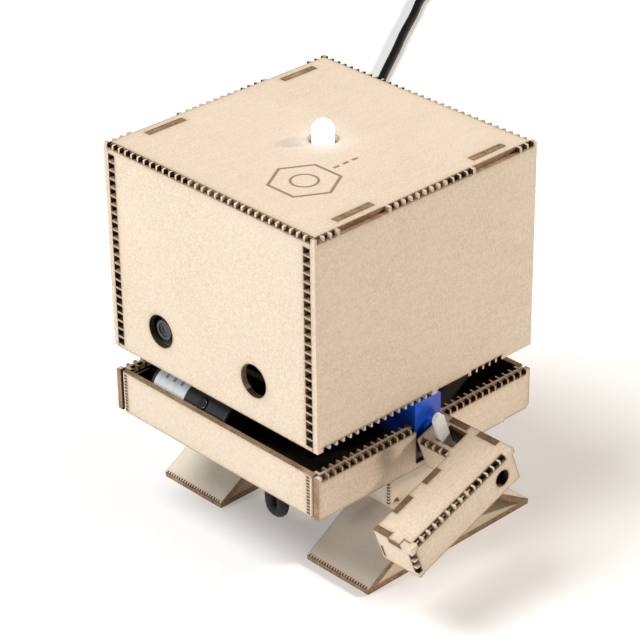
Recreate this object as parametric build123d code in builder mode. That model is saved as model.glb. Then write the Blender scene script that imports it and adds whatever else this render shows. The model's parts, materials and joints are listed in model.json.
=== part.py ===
from build123d import *
import os
from math import cos, hypot, pi, radians, sin, sqrt, tan

# A desktop robot folded from laser-cut card. Millimetres, Z up, the floor at Z = 0.
# The face looks along -Y, the servo and its arm are on the +X side, and the centre of the head is X = Y = 0.

# ---- card and the way it folds
CARD = 2.2            # thickness of every card sheet
GAP = 0.1             # air between two sheets that lie on each other
SLOT = 2.4            # length of one fold slot
PITCH = 3.175         # one slot and one bridge: an eighth of an inch
REACH = 1.7           # how far a slot reaches from the fold line
DOT, DOT_PITCH = 0.6, 1.25   # the finer perforation of the jaw's ends, the legs and the feet

# ---- head and jaw
HALF = 50.8           # half of the four inch square that head and jaw share
HEAD_BOTTOM, HEAD_TOP = 64.5, 142.0
JAW_BOTTOM, JAW_TOP = 38.8, 55.0
OUTER = HALF - CARD                   # inner face of the outer side panel
FLAP_OUT = OUTER - GAP                # the flap folded back from the front
FLAP_IN = FLAP_OUT - CARD
INNER_OUT = FLAP_IN - 2 * GAP         # the inner side panel
INNER_IN = INNER_OUT - CARD
TAB_ROWS = ((-36.4, -20.6), (25.4, 40.2))      # the inner panel's tabs along Y
OPEN_ROWS = ((-39.6, -18.7), (21.6, 42.3))     # the long openings in the side folds
EYE_Z, EYE_R = 79.6, 6.0
EYES = (-25.5, 20.8)
LED_X, LED_Y, LED_R = -0.3, 1.9, 3.85
LED_TOP = 149.2

# ---- servo and arm
AXIS_Y, AXIS_Z = 1.1, 47.3            # the servo shaft, along X
SERVO_FACE = 49.8                     # outer face of the gear cover
SERVO_W, SERVO_L, SERVO_D = 12.2, 22.6, 22.6
SERVO_END = AXIS_Z - 6.1              # lower end of the servo body
ARM_ANGLE = 20.2                      # how far the arm points below level
ARM_OUT, ARM_IN, SHOULDER_IN = 84.0, 67.0, 52.7
ARM_TOP, ARM_LOW = 7.35, -6.05        # above and below the shaft, in the arm's own frame
ARM_FRONT, ARM_REAR = -43.1, 8.0      # along the arm, from the shaft
SHOULDER_FRONT = -6.0
ARM_PLANE = Plane(
    origin=(0, AXIS_Y, AXIS_Z),
    x_dir=(1, 0, 0),
    z_dir=(0, -sin(radians(ARM_ANGLE)), cos(radians(ARM_ANGLE))),
)

# ---- feet, legs and base
FOOT_IN, FOOT_OUT = 22.4, 52.4
FOOT_FRONT, FOOT_BACK = -29.8, 50.2
FOOT_EDGE, FOOT_TOP, FOOT_SLOPE = 2.1, 17.0, 0.6
LEG_IN, LEG_OUT = 26.0, 37.3
BASE_BOTTOM = 41.0
BASE_TOP = BASE_BOTTOM + CARD
TRAY_TOP = 72.2
BOARD_BOTTOM, BOARD_TOP = 77.2, 78.7
SCREW_PLACES = [(x, y) for x in (-24.5, 24.5) for y in (-34.5, 23.5)]

# ---- cords
CORD = 4.2            # diameter of the power cord and of the speaker's lead
LAID = CORD / 2 + 0.1
COIL_MIDDLE, COIL_WIDE, COIL_HIGH = 23.0, 12.6, 10.4
CORD_ROUTE = [
    (-36.6, -13, 79.6), (-36.2, 15, 79.3), (-36.9, 43, 79.8), (-38.5, 69, 74), (-44, 90, 49), (-53, 106, 21),
    (-66, 124, LAID), (-88, 150, LAID), (-118, 176, LAID), (-152, 199, LAID), (-186, 219, LAID),
    (-216, 243, LAID), (-240, 266, LAID), (-254, 287, LAID), (-264.5, 303, LAID), (-276.5, 320, LAID),
    (-289.5, 341, LAID), (-302, 358, LAID),
]
COIL_TOUCH = (-315, 380)              # where the cord runs into the outside of the coil
COIL_HEADING = (-0.5, 0.866)          # the direction it runs there
LEAD_ROUTE = [
    (17.9, -42, 42.9), (18.1, -42.3, 33.5), (18.3, -42, 25.3),
    (24.1, -42, 25.3), (24.4, -42.3, 33.5), (24.3, -42, 42.9),
]


def block(low, high, mode=Mode.ADD):
    """A box between two corners, given in either order, added to or cut from the part being made."""
    with Locations(tuple((a + b) / 2 for a, b in zip(low, high))):
        Box(*(abs(b - a) for a, b in zip(low, high)), mode=mode)


def cut(low, high):
    block(low, high, Mode.SUBTRACT)


def slots(axis, start, stop, low, high, long=SLOT, pitch=PITCH):
    """Cut a row of fold slots along one axis. low and high bound each slot in the other two axes."""
    count = int((stop - start + pitch - long) / pitch)
    first = (start + stop - (count - 1) * pitch) / 2
    centres, size = [], [abs(b - a) for a, b in zip(low, high)]
    size.insert("XYZ".index(axis), long)
    for i in range(count):
        centre = [(a + b) / 2 for a, b in zip(low, high)]
        centre.insert("XYZ".index(axis), first + i * pitch)
        centres.append(tuple(centre))
    with Locations(*centres):
        Box(*size, mode=Mode.SUBTRACT)


def fold_slots(axis, start, stop, inner, outer):
    """Fold slots in a right-angled corner: a notch in its outside, and an opening from there to its inside."""
    slots(axis, start, stop, inner, outer)
    reach = [0.9 if b > a else -0.9 for a, b in zip(inner, outer)]
    behind, before = ([a + way * r for a, r in zip(inner, reach)] for way in (-1, 1))
    slots(axis, start, stop, behind, before)


def bore(radius, depth, centre, direction=(0, 0, 1), mode=Mode.SUBTRACT):
    """A cylinder centred on a point, with its axis along a direction, cut or added."""
    with Locations(Plane(origin=centre, z_dir=direction).location):
        Cylinder(radius, depth, mode=mode)


def rod(radius, start, stop, y, z, mode=Mode.ADD):
    """A cylinder along X between two positions."""
    bore(radius, abs(stop - start), ((start + stop) / 2, y, z), (1, 0, 0), mode)


def save(name, builder):
    """Write one part, with the origin moved below the middle of the whole object."""
    part = builder.part.moved(Location(((FOOT_OUT - ARM_OUT) / 2, 0, 0)))
    part.label = name
    export_step(part, f"parts/{name}.step")


os.makedirs("parts", exist_ok=True)

# ---- head: one sheet folded into a box that is open below
with BuildPart() as head_shell:
    block((-HALF, -HALF, HEAD_TOP - CARD), (HALF, HALF, HEAD_TOP))
    fillet(head_shell.edges().group_by(Axis.Z)[-1], 0.4)
    for face in (-1, 1):              # front and back panels
        block((-FLAP_OUT, face * HALF, HEAD_BOTTOM), (FLAP_OUT, face * OUTER, HEAD_TOP - CARD))
    for side in (-1, 1):
        block((side * OUTER, -HALF, HEAD_BOTTOM), (side * HALF, HALF, HEAD_TOP - CARD))
        block((side * INNER_IN, -46, HEAD_BOTTOM), (side * HALF, 46, HEAD_BOTTOM + CARD))
        block((side * INNER_IN, -46, HEAD_BOTTOM), (side * INNER_OUT, 46, HEAD_TOP - CARD - 2 * GAP))
        for face in (-1, 1):          # the flaps between the outer and inner side panels
            low, high = HEAD_BOTTOM + CARD + 3 * GAP, HEAD_TOP - CARD - 2 * GAP
            block((side * FLAP_IN, face * OUTER, low), (side * FLAP_OUT, face * 24, high))
        for start, stop in TAB_ROWS:
            sleeve = (INNER_IN - 2 * GAP, INNER_OUT + 2 * GAP)
            cut((side * sleeve[0], start - 0.2, HEAD_TOP - CARD - 0.1), (side * sleeve[1], stop + 0.2, HEAD_TOP + 1))
            block((side * INNER_IN, start, HEAD_TOP - 5), (side * INNER_OUT, stop, HEAD_TOP))
        edge = side * (HALF - REACH), side * (HALF + 1)
        for start, stop in OPEN_ROWS:
            cut((edge[0], start, HEAD_TOP - REACH), (edge[1], stop, HEAD_TOP + 1))
        for start, stop in ((-50.2, -40.2), (-18.5, 21.4), (42.4, 50.2)):
            fold_slots("Y", start, stop, (edge[0], HEAD_TOP - REACH), (edge[1], HEAD_TOP + 1))
        for start, stop in ((-49.5, 3.4), (20, 37)):
            fold_slots("Y", start, stop, (edge[0], HEAD_BOTTOM + REACH), (edge[1], HEAD_BOTTOM - 1))
        for face in (-1, 1):          # the upright folds between the front or back and their flaps
            window = (side * 45.6, face * (HALF + 1)), (side * (FLAP_OUT + GAP / 2), face * (OUTER - GAP))
            slots("Z", HEAD_BOTTOM + 1, HEAD_TOP - CARD - 1, *window)
    for face in (-1, 1):
        window = (face * (HALF - REACH), HEAD_TOP - REACH), (face * (HALF + 1), HEAD_TOP + 1)
        fold_slots("X", -49.8, 49.8, *window)
    for eye in EYES:
        bore(EYE_R, 8, (eye, -OUTER, EYE_Z), (0, 1, 0))
    bore(5.1, 10, (LED_X, LED_Y, HEAD_TOP))
    cut((-41, OUTER - 1, HEAD_BOTTOM - 1), (41, HALF + 1, 102))            # window for the ports at the back
    cut((INNER_IN - 1, -7, HEAD_BOTTOM - 1), (INNER_OUT + 0.1, 9.2, 69.8))  # room for the servo's upper ear
    cut((HALF - REACH, 4.9, HEAD_BOTTOM - 1), (HALF + 1, 19.5, HEAD_BOTTOM + 1.2))
save("head_shell", head_shell)

# ---- the LED in the top of the head
with BuildPart() as led_bracket:
    block((LED_X - 14, LED_Y - 14, 137.5), (LED_X + 14, LED_Y + 14, 137.5 + CARD))
    for side in (-1, 1):
        block((LED_X + side * 14, LED_Y - 14, 126), (LED_X + side * (14 - CARD), LED_Y + 14, 137.6))
    bore(LED_R + 0.15, 10, (LED_X, LED_Y, 138))
save("led_bracket", led_bracket)

with BuildPart() as led_bulb:
    with BuildSketch(Plane.XZ):
        with BuildLine():
            Polyline((0, LED_TOP), (0, 136), (4.7, 136), (4.7, 137.5), (LED_R, 137.5), (LED_R, LED_TOP - LED_R))
            RadiusArc((LED_R, LED_TOP - LED_R), (0, LED_TOP), -LED_R)
        make_face()
    revolve(axis=Axis.Z)
led_bulb.part.position = (LED_X, LED_Y, 0)
save("led_bulb", led_bulb)

with BuildPart() as led_legs:
    for x, low in ((-1.27, 120), (1.27, 116)):
        block((LED_X + x - 0.25, LED_Y - 0.25, low), (LED_X + x + 0.25, LED_Y + 0.25, 136))
save("led_legs", led_legs)

# ---- the camera behind one eye
EYE_X = EYES[0]
CAMERA_SCREWS = [(EYE_X + x, z) for x in (-10.5, 10.5) for z in (69.5, 90)]
with BuildPart() as camera_bracket:
    block((EYE_X - 15, -41.9, 66.5), (EYE_X + 15, -41.9 + CARD, 96))
    for side in (-1, 1):
        block((EYE_X + side * 15, -OUTER + GAP, 66.5), (EYE_X + side * (15 - CARD), -41.8, 96))
    cut((EYE_X - 9, -45, 71), (EYE_X + 9, -38, 88))
    for x, z in CAMERA_SCREWS:
        bore(1.0, 6, (x, -41, z), (0, 1, 0))
save("camera_bracket", camera_bracket)

with BuildPart() as camera_board:
    block((EYE_X - 12.5, -43, 67.5), (EYE_X + 12.5, -42, 92))
    fillet(camera_board.edges().filter_by(Axis.Y), 2)
    for x, z in CAMERA_SCREWS:
        bore(1.1, 4, (x, -42.5, z), (0, 1, 0))
    block((EYE_X - 9, -42.2, 88.5), (EYE_X + 9, -41.95, 91.5))
save("camera_board", camera_board)

with BuildPart() as camera_lens:
    block((EYE_X - 4.25, -47, EYE_Z - 4.25), (EYE_X + 4.25, -43.05, EYE_Z + 4.25))
    fillet(camera_lens.edges().filter_by(Axis.Y), 0.6)
    bore(3.6, 2.6, (EYE_X, -48.2, EYE_Z), (0, 1, 0), Mode.ADD)
    bore(2.6, 0.6, (EYE_X, -49.3, EYE_Z), (0, 1, 0))
    bore(1.5, 0.8, (EYE_X, -49.1, EYE_Z), (0, 1, 0))
save("camera_lens", camera_lens)

with BuildPart() as camera_screws:
    for x, z in CAMERA_SCREWS:
        bore(1.9, 1.2, (x, -43.65, z), (0, 1, 0), Mode.ADD)
        bore(0.95, 4, (x, -41.1, z), (0, 1, 0), Mode.ADD)
        bore(0.6, 0.6, (x, -44.1, z), (0, 1, 0))
save("camera_screws", camera_screws)

# ---- jaw: four folded strips around the base
SERVO_LOW, SERVO_HIGH = AXIS_Y - SERVO_W / 2, AXIS_Y + SERVO_W / 2
END_FLAP = 47.7                       # outer face of the flaps at the jaw's ends
for name, side in (("jaw_side_left", -1), ("jaw_side_right", 1)):
    with BuildPart() as jaw_side:
        block((side * OUTER, -HALF, JAW_BOTTOM), (side * HALF, HALF, JAW_TOP))
        fillet(jaw_side.edges().filter_by(Axis.Y).group_by(Axis.Z)[-1], 0.4)
        block((side * FLAP_IN, -48.5, JAW_TOP - CARD), (side * (OUTER + 1), 48.5, JAW_TOP))
        block((side * FLAP_IN, -39.8, BASE_BOTTOM), (side * FLAP_OUT, 39.8, JAW_TOP))
        fold_slots("Y", -50.2, 50.2, (side * (HALF - REACH), JAW_TOP - REACH), (side * (HALF + 1), JAW_TOP + 1))
        fold_slots("Y", -48, 48, (side * (FLAP_IN + REACH), JAW_TOP - REACH), (side * (FLAP_IN - 1), JAW_TOP + 1))
        cut((side * (OUTER - 1), 38, JAW_BOTTOM - 1), (side * (HALF + 1), HALF + 1, JAW_BOTTOM + 0.5))
        chamfer(jaw_side.edges().filter_by(Axis.X).group_by(Axis.Y)[-1].group_by(Axis.Z)[0], 1.6)
        if side > 0:                  # the servo stands in this cut and its ears hook behind the wall
            low, high = SERVO_LOW - 0.4, SERVO_HIGH + 0.4
            cut((FLAP_IN - 1, low, SERVO_END - 0.3), (HALF + 1, high, JAW_TOP + 1))
            cut((FLAP_IN - 1, low, BASE_BOTTOM - 1), (FLAP_OUT + GAP, high, JAW_TOP + 1))
    save(name, jaw_side)

for name, face in (("jaw_front", -1), ("jaw_back", 1)):
    with BuildPart() as jaw_end:
        block((-END_FLAP, face * HALF, JAW_BOTTOM), (END_FLAP, face * OUTER, JAW_TOP))
        fillet(jaw_end.edges().filter_by(Axis.Z).group_by(Axis.Y)[0 if face < 0 else -1], 0.7)
        for side in (-1, 1):
            low, high = JAW_BOTTOM + 0.4, JAW_TOP - CARD - 3 * GAP
            block((side * END_FLAP, face * (OUTER + 1), low), (side * (END_FLAP - CARD), face * 40, high))
            window = (side * 45.4, face * (HALF + 1)), (side * 46.6, face * (OUTER - GAP))
            slots("Z", JAW_BOTTOM + 0.5, JAW_TOP - 0.5, *window, DOT, DOT_PITCH)
        if face > 0:
            cut((-30, OUTER - 1, 47), (30, HALF + 1, JAW_TOP + 1))
    save(name, jaw_end)

# ---- base, tray and the two uprights that carry the head
LEG_TABS = (10, 20)
UPRIGHT_IN, UPRIGHT_OUT, UPRIGHT_TABS = 30.5, 30.5 + CARD, (22, 32)
LEAD_HOLES = [LEAD_ROUTE[0][:2], LEAD_ROUTE[-1][:2]]
with BuildPart() as base_plate:
    block((-45.3, -OUTER + 0.2, BASE_BOTTOM), (45.3, OUTER - 0.2, BASE_TOP))
    for side in (-1, 1):
        for x0, x1, (y0, y1) in ((LEG_OUT - CARD, LEG_OUT, LEG_TABS), (UPRIGHT_IN, UPRIGHT_OUT, UPRIGHT_TABS)):
            cut((side * (x0 - GAP), y0 - GAP, 40), (side * (x1 + GAP), y1 + GAP, 45))
    cut((26.8, SERVO_LOW - 0.4, 40), (HALF, SERVO_HIGH + 0.4, 45))
    for x, y in LEAD_HOLES:
        bore(CORD / 2 + 0.3, 8, (x, y, BASE_BOTTOM))
save("base_plate", base_plate)

with BuildPart() as tray:
    block((-26.2, -38, TRAY_TOP - CARD), (26.2, 42, TRAY_TOP))
    for side in (-1, 1):
        block((side * 26.2, -31, BASE_TOP), (side * (26.2 - CARD), 42, TRAY_TOP - 0.5))
        slots("Y", -30, 41, (side * (26.2 - REACH), TRAY_TOP - REACH), (side * 27, TRAY_TOP + 1))
        cut((side * 27, 19, 66), (side * 22, 28, TRAY_TOP - CARD))       # room for the nuts at the back
    for x, y in SCREW_PLACES:
        bore(1.35, 8, (x, y, TRAY_TOP))
save("tray", tray)

for name, side in (("upright_left", -1), ("upright_right", 1)):
    with BuildPart() as upright:
        block((side * UPRIGHT_IN, 12, BASE_TOP), (side * UPRIGHT_OUT, 40, HEAD_TOP - CARD))
        block((side * UPRIGHT_IN, UPRIGHT_TABS[0], BASE_BOTTOM), (side * UPRIGHT_OUT, UPRIGHT_TABS[1], BASE_TOP + 1))
    save(name, upright)

# ---- legs and feet
LEG_FRONT, LEG_BACK = -5.0, 25.4
for name, side in (("leg_left", -1), ("leg_right", 1)):
    with BuildPart() as leg:
        block((side * (LEG_OUT - CARD), LEG_FRONT, FOOT_TOP), (side * LEG_OUT, LEG_BACK, BASE_BOTTOM))
        for y0, y1 in ((LEG_FRONT, LEG_FRONT + CARD), (LEG_BACK - CARD, LEG_BACK)):
            block((side * LEG_IN, y0, FOOT_TOP), (side * (LEG_OUT - 1), y1, BASE_BOTTOM))
        block((side * (LEG_OUT - CARD), LEG_TABS[0], BASE_BOTTOM - 1), (side * LEG_OUT, LEG_TABS[1], BASE_TOP))
        for y in (3, 12):
            block((side * (LEG_OUT - CARD), y, FOOT_TOP - CARD), (side * LEG_OUT, y + 6, FOOT_TOP + 1))
        for y0, y1 in ((LEG_FRONT - 1, LEG_FRONT + 0.9), (LEG_BACK - 0.9, LEG_BACK + 1)):
            window = (side * (LEG_OUT - 0.9), y0), (side * (LEG_OUT + 1), y1)
            slots("Z", FOOT_TOP + 0.6, BASE_BOTTOM - 0.6, *window, DOT, DOT_PITCH)
        with BuildSketch(Plane.YZ.offset(side * LEG_OUT)):
            Polygon((LEG_FRONT + 0.8, FOOT_TOP - 0.1), (0.6, FOOT_TOP - 0.1), (-0.8, FOOT_TOP + 2.4), align=None)
        extrude(amount=-side * (CARD + 1), mode=Mode.SUBTRACT)
    save(name, leg)

SHEET_RISE = CARD * sqrt(1 + FOOT_SLOPE**2)     # thickness of the sloping sheet, measured upwards
FOOT_MIDDLE = (FOOT_FRONT + FOOT_BACK) / 2


def foot_half(rise, height):
    """How far from the middle the sloping sheet is at a height, with its surface lowered by rise."""
    return (FOOT_BACK - FOOT_FRONT) / 2 - (height - FOOT_EDGE + rise) / FOOT_SLOPE


for name, side in (("foot_left", -1), ("foot_right", 1)):
    with BuildPart() as foot:
        with BuildSketch(Plane.YZ.offset(FOOT_IN)):
            with Locations((FOOT_MIDDLE, 0)):
                half, top = (FOOT_BACK - FOOT_FRONT) / 2, foot_half(0, FOOT_TOP)
                Polygon(
                    (-half, 0), (half, 0), (half, FOOT_EDGE), (top, FOOT_TOP), (-top, FOOT_TOP), (-half, FOOT_EDGE),
                    align=None,
                )
                low, high = foot_half(SHEET_RISE, CARD), foot_half(SHEET_RISE, FOOT_TOP - CARD)
                Polygon(
                    (-low, CARD), (low, CARD), (high, FOOT_TOP - CARD), (-high, FOOT_TOP - CARD),
                    align=None, mode=Mode.SUBTRACT,
                )
        extrude(amount=FOOT_OUT - FOOT_IN)
        for y in (3, 12):
            cut((LEG_OUT - CARD - GAP, y - GAP, FOOT_TOP - CARD - 1), (LEG_OUT + GAP, y + 6 + GAP, FOOT_TOP + 1))
        for y0, y1 in ((FOOT_FRONT - 1, FOOT_FRONT + 0.7), (FOOT_BACK - 0.7, FOOT_BACK + 1)):
            slots("X", FOOT_IN + 0.6, FOOT_OUT - 0.6, (y0, 1.5), (y1, 2.7), DOT, DOT_PITCH)
    if side < 0:
        with BuildPart() as foot_mirrored:
            add(foot.part.mirror(Plane.YZ))
        foot = foot_mirrored
    save(name, foot)

with BuildPart() as leg_brace:
    block((-LEG_IN + GAP, 9, 22), (LEG_IN - GAP, 9 + CARD, BASE_BOTTOM))
    cut((-16, 8, 21), (16, 12, 31))
    fillet(leg_brace.edges().filter_by(Axis.Y).group_by(Axis.Z)[1], 4)
save("leg_brace", leg_brace)

# ---- servo: a three-part case, a motor, its pinion, a double gear and the driven shaft
CASE_FLOOR, EAR_LOW, EAR_HIGH = SERVO_FACE - SERVO_D, SERVO_FACE - 6.8, SERVO_FACE - 4.3
CAP_TOP, CHAMBER, LID = CASE_FLOOR + 5, 41.4, 0.8
SERVO_TOP = SERVO_END + SERVO_L
WALL = 0.8


def case_block(start, stop, shrink=0.0, mode=Mode.ADD):
    low = (start, SERVO_LOW + shrink, SERVO_END + shrink)
    high = (stop, SERVO_HIGH - shrink, SERVO_TOP - shrink)
    block(low, high, mode)


with BuildPart() as servo_cap:
    case_block(CASE_FLOOR, CAP_TOP)
    fillet(servo_cap.edges().filter_by(Axis.X), 0.8)
    case_block(CASE_FLOOR + WALL, CAP_TOP + 1, WALL, Mode.SUBTRACT)
save("servo_cap", servo_cap)

SCREW_Z = (SERVO_END - 2.3, SERVO_TOP + 2.3)
with BuildPart() as servo_case:
    case_block(CAP_TOP, EAR_HIGH)
    fillet(servo_case.edges().filter_by(Axis.X), 0.8)
    block((EAR_LOW, SERVO_LOW, SERVO_END - 4.6), (EAR_HIGH, SERVO_HIGH, SERVO_TOP + 4.6))
    case_block(CAP_TOP - 1, CHAMBER - WALL, WALL, Mode.SUBTRACT)
    case_block(CHAMBER, EAR_HIGH + 1, WALL, Mode.SUBTRACT)
    for z in SCREW_Z:
        rod(1.0, EAR_LOW - 1, EAR_HIGH + 1, AXIS_Y, z, Mode.SUBTRACT)
    for z in (53.3, 59.05):
        rod(0.55, CHAMBER - 2, CHAMBER + 1, AXIS_Y, z, Mode.SUBTRACT)
save("servo_case", servo_case)

TURRET_TOP = SHOULDER_IN - 0.3
with BuildPart() as servo_cover:
    case_block(EAR_HIGH, SERVO_FACE)
    fillet(servo_cover.edges().filter_by(Axis.X), 0.8)
    rod(5.2, SERVO_FACE, TURRET_TOP, AXIS_Y, AXIS_Z)
    rod(2.6, SERVO_FACE, SERVO_FACE + 1.4, AXIS_Y, AXIS_Z + 6.0)
    case_block(EAR_HIGH - 1, SERVO_FACE - LID, WALL, Mode.SUBTRACT)
    rod(3.05, EAR_HIGH, TURRET_TOP + 1, AXIS_Y, AXIS_Z, Mode.SUBTRACT)
save("servo_cover", servo_cover)

with BuildPart() as servo_screws:
    for z in SCREW_Z:
        rod(0.95, EAR_LOW - 4, EAR_HIGH, AXIS_Y, z)
        rod(1.7, EAR_LOW - 1.2, EAR_LOW, AXIS_Y, z)
save("servo_screws", servo_screws)

MODULE = 0.25
BIG, SMALL, PINION = 36, 12, 10
MID_Z = AXIS_Z + MODULE * (BIG + SMALL) / 2
MOTOR_Z = MID_Z + MODULE * (BIG + PINION) / 2


def wheel(teeth, start, stop, z, first):
    """A spur wheel along X. first is the angle of one tooth, from +Y towards +Z."""
    pitch_r = MODULE * teeth / 2
    tip, root, half = pitch_r + 0.75 * MODULE, pitch_r - 1.2 * MODULE, 90 / teeth
    with BuildSketch(Plane(origin=(start, AXIS_Y, z), x_dir=(0, 1, 0), z_dir=(1, 0, 0))) as profile:
        Circle(root)
        with PolarLocations(0, teeth, start_angle=first):
            wide, narrow = root * sin(radians(1.05 * half)), tip * sin(radians(0.42 * half))
            Polygon((root * 0.97, -wide), (tip, -narrow), (tip, narrow), (root * 0.97, wide), align=None)
    extrude(profile.sketch, amount=stop - start)


LEVELS = ((CHAMBER + 0.2, CHAMBER + 2.4), (CHAMBER + 2.8, CHAMBER + 5.2))
with BuildPart() as servo_motor:
    rod(3.4, CASE_FLOOR + 2, CHAMBER - WALL - 0.2, AXIS_Y, MOTOR_Z)
    fillet(servo_motor.edges().group_by(Axis.X)[0], 0.6)
save("servo_motor", servo_motor)

with BuildPart() as motor_pinion:
    wheel(PINION, *LEVELS[0], MOTOR_Z, 270 + 180 / PINION)
    rod(0.45, CHAMBER - 1, LEVELS[0][1], AXIS_Y, MOTOR_Z)
save("motor_pinion", motor_pinion)

with BuildPart() as middle_gear:
    wheel(BIG, *LEVELS[0], MID_Z, 90)
    wheel(SMALL, LEVELS[0][1], LEVELS[1][1], MID_Z, 270 + 180 / SMALL)
    rod(0.55, LEVELS[0][0] - 1, LEVELS[1][1] + 1, AXIS_Y, MID_Z, Mode.SUBTRACT)
save("middle_gear", middle_gear)

with BuildPart() as gear_pin:
    rod(0.5, CHAMBER - 0.7, SERVO_FACE - LID, AXIS_Y, MID_Z)
save("gear_pin", gear_pin)

SPLINE_END = 57.2
with BuildPart() as servo_shaft:
    wheel(BIG, *LEVELS[1], AXIS_Z, 90)
    rod(3.0, LEVELS[1][1], TURRET_TOP, AXIS_Y, AXIS_Z)
    rod(2.3, TURRET_TOP, SPLINE_END, AXIS_Y, AXIS_Z)
    rod(0.8, TURRET_TOP, SPLINE_END + 1, AXIS_Y, AXIS_Z, Mode.SUBTRACT)
save("servo_shaft", servo_shaft)

HORN_IN, HORN_OUT, HORN_LONG, HORN_LEAN = 58.7, 60.3, 17.3, 0.5
HORN_PLANE = ARM_PLANE.rotated((-HORN_LEAN, 0, 0))
with BuildPart(HORN_PLANE) as servo_horn:
    block((HORN_IN, -2.2, 0), (HORN_OUT, 2.2, HORN_LONG - 2.2))
    bore(2.2, HORN_OUT - HORN_IN, ((HORN_IN + HORN_OUT) / 2, 0, HORN_LONG - 2.2), (1, 0, 0), Mode.ADD)
    rod(3.5, TURRET_TOP + 0.3, HORN_OUT, 0, 0)
    rod(2.3, TURRET_TOP, SPLINE_END, 0, 0, Mode.SUBTRACT)
    rod(1.1, SPLINE_END, HORN_OUT + 1, 0, 0, Mode.SUBTRACT)
save("servo_horn", servo_horn)

with BuildPart() as horn_screw:
    rod(1.9, HORN_OUT, HORN_OUT + 1.3, AXIS_Y, AXIS_Z)
    rod(0.75, TURRET_TOP + 0.6, HORN_OUT, AXIS_Y, AXIS_Z)
    for size in ((0.5, 2.4), (2.4, 0.5)):
        block((HORN_OUT + 0.7, AXIS_Y - size[0] / 2, AXIS_Z - size[1] / 2),
              (HORN_OUT + 2, AXIS_Y + size[0] / 2, AXIS_Z + size[1] / 2), Mode.SUBTRACT)
save("horn_screw", horn_screw)

# ---- arm: a folded shell with two braces inside it, in the arm's own frame (Y back, Z up from the shaft)
INNER_TABS = ((-12.1, -19.1), (-26.0, -33.7))
REAR_TABS = ((56.9, 64.8), (69.6, 77.9))
REAR_IN = ARM_REAR - CARD
FRONT_IN = ARM_FRONT + CARD
SHEET = ARM_TOP - CARD
with BuildPart(ARM_PLANE) as arm_shell:
    block((ARM_IN, FRONT_IN + GAP, SHEET), (ARM_OUT, ARM_REAR, ARM_TOP))
    block((SHOULDER_IN, SHOULDER_FRONT, SHEET), (ARM_IN + 1, ARM_REAR, ARM_TOP))
    block((ARM_OUT - CARD, ARM_FRONT, ARM_LOW), (ARM_OUT, ARM_REAR - 1, ARM_TOP))
    block((ARM_IN, ARM_FRONT, ARM_LOW - 0.5), (ARM_OUT, FRONT_IN, ARM_TOP))
    cut((ARM_IN + 6.7, ARM_FRONT - 1, SHEET - GAP), (ARM_OUT - 4.9, FRONT_IN + 0.5, ARM_TOP + 1))
    block((ARM_IN + 6.8, ARM_FRONT, SHEET), (ARM_OUT - 5, FRONT_IN + 1, ARM_TOP))
    block((SHOULDER_IN, SHOULDER_FRONT, ARM_LOW), (ARM_IN - GAP, SHOULDER_FRONT + CARD, ARM_TOP))
    cut((58.5, -2.6, SHEET - 1), (66.0, 4.7, ARM_TOP + 1))
    for y0, y1 in INNER_TABS:
        cut((ARM_IN - 1, y0 + GAP, SHEET - 0.1), (ARM_IN + CARD + GAP, y1 - GAP, ARM_TOP + 1))
    for x0, x1 in REAR_TABS:
        cut((x0 - GAP, REAR_IN - GAP, SHEET - 0.1), (x1 + GAP, ARM_REAR + 1, ARM_TOP + 1))
    bore(3.0, 8, (ARM_OUT, 0, 0), (1, 0, 0))
    edge = (ARM_OUT - REACH, ARM_OUT + 1)
    fold_slots("Y", ARM_FRONT + 2.6, ARM_REAR - 3.6, (edge[0], ARM_TOP - REACH), (edge[1], ARM_TOP + 1))
    fold_slots("Z", ARM_LOW + 0.2, ARM_TOP - 1.6, (edge[0], ARM_FRONT + REACH), (edge[1], ARM_FRONT - 1))
    corner = (SHOULDER_FRONT + REACH, ARM_TOP - REACH), (SHOULDER_FRONT - 1, ARM_TOP + 1)
    fold_slots("X", SHOULDER_IN + 0.6, ARM_IN - 0.6, *corner)
    cut((ARM_IN + 1.0, ARM_FRONT - 1, -5.1), (ARM_IN + 1.7, FRONT_IN + 0.1, 0.1))
save("arm_shell", arm_shell)

with BuildPart(ARM_PLANE) as arm_inner_brace:
    block((ARM_IN, FRONT_IN + GAP, ARM_LOW), (ARM_IN + CARD, REAR_IN - GAP, SHEET - GAP))
    for y0, y1 in INNER_TABS:
        block((ARM_IN, y0, SHEET - 1), (ARM_IN + CARD, y1, ARM_TOP))
save("arm_inner_brace", arm_inner_brace)

with BuildPart(ARM_PLANE) as arm_rear_brace:
    block((SHOULDER_IN, REAR_IN, ARM_LOW), (ARM_OUT - CARD - GAP, ARM_REAR, SHEET - GAP))
    block((ARM_IN + CARD + GAP, -5, ARM_LOW), (ARM_OUT - CARD - GAP, REAR_IN + 1, ARM_LOW + CARD))
    for x0, x1 in REAR_TABS:
        block((x0, REAR_IN, SHEET - 1), (x1, ARM_REAR, ARM_TOP))
save("arm_rear_brace", arm_rear_brace)

# ---- computer board on the tray
with BuildPart() as computer_board:
    block((-28, -38, BOARD_BOTTOM), (28, 47, BOARD_TOP))
    fillet(computer_board.edges().filter_by(Axis.Z), 3)
    for x, y in SCREW_PLACES:
        bore(1.38, 6, (x, y, BOARD_TOP))
save("computer_board", computer_board)

with BuildPart() as processor:
    block((-7, -19, BOARD_TOP), (7, -5, BOARD_TOP + 1.3))
    chamfer(processor.faces().sort_by(Axis.Z)[-1].edges(), 0.3)
save("processor", processor)

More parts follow.
